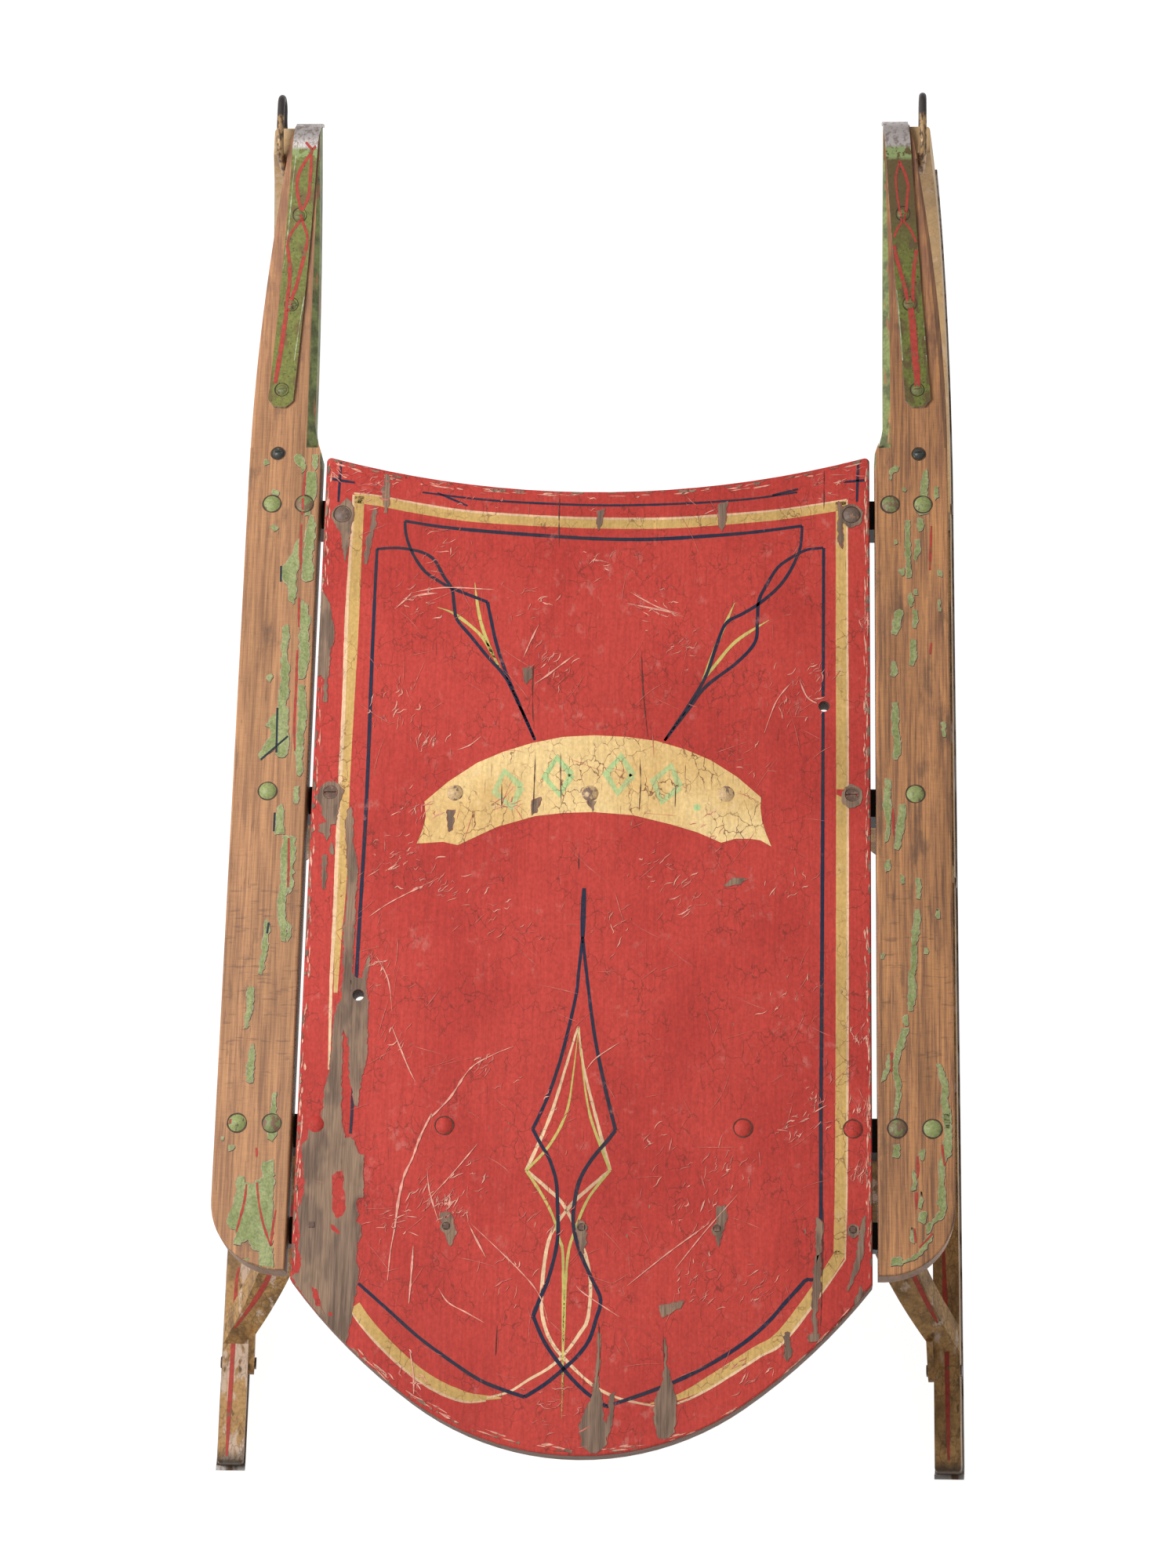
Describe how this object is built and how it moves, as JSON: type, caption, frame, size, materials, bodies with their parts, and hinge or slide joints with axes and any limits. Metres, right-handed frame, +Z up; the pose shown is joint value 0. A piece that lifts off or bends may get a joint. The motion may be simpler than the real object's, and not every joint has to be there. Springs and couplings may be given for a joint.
{
  "type": "child's runner sled",
  "caption": "Low painted wooden sled: a deck board between upswept side rails, on cross benches, splayed knees and steel-shod wooden runners, with rope eyes at the nose.",
  "frame": {"origin": "on the floor, under the middle of the sled's overall footprint", "axes": "+Y to the nose, +X to the rider's right, +Z up from the floor the runners stand on"},
  "size_m": [0.477, 0.8914, 0.2169],
  "materials": {
    "deck_paint": "worn red oil paint with painted lines, bare grey wood at one side",
    "rail_wood": "worn varnished wood with traces of green paint",
    "bench_black": "old black paint",
    "gold_wood": "crackled mustard paint with a red line",
    "shoe_steel": "rubbed bare steel, a little rust",
    "strap_paint": "olive green paint over steel, red lines",
    "eye_steel": "dark rod with old paint",
    "fastener_steel": "dark, painted over in places"
  },
  "bodies": {
    "root": {"bench_front": "bench_black", "bench_middle": "bench_black", "bench_rear": "bench_black", "cleat_nails": "fastener_steel", "deck": "deck_paint", "deck_pegs_front": "fastener_steel", "deck_pegs_middle": "fastener_steel", "deck_pegs_rear": "fastener_steel", "deck_screws": "fastener_steel", "knee_front_left": "gold_wood", "knee_front_right": "gold_wood", "knee_middle_left": "gold_wood", "knee_middle_right": "gold_wood", "knee_rear_left": "gold_wood", "knee_rear_right": "gold_wood", "knee_rivets_left": "fastener_steel", "knee_rivets_right": "fastener_steel", "nose_strap_left": "strap_paint", "nose_strap_right": "strap_paint", "rail_bolts_left": "fastener_steel", "rail_bolts_right": "fastener_steel", "rail_left": "rail_wood", "rail_nuts_left": "fastener_steel", "rail_nuts_right": "fastener_steel", "rail_pegs_left": "fastener_steel", "rail_pegs_right": "fastener_steel", "rail_right": "rail_wood", "rail_screw_left": "fastener_steel", "rail_screw_right": "fastener_steel", "rear_cleat": "bench_black", "rope_eye_left": "eye_steel", "rope_eye_right": "eye_steel", "runner_left": "gold_wood", "runner_right": "gold_wood", "shoe_left": "shoe_steel", "shoe_right": "shoe_steel", "shoe_screws_left": "fastener_steel", "shoe_screws_right": "fastener_steel", "strap_screws_left": "fastener_steel", "strap_screws_right": "fastener_steel"}
  },
  "joints": []
}
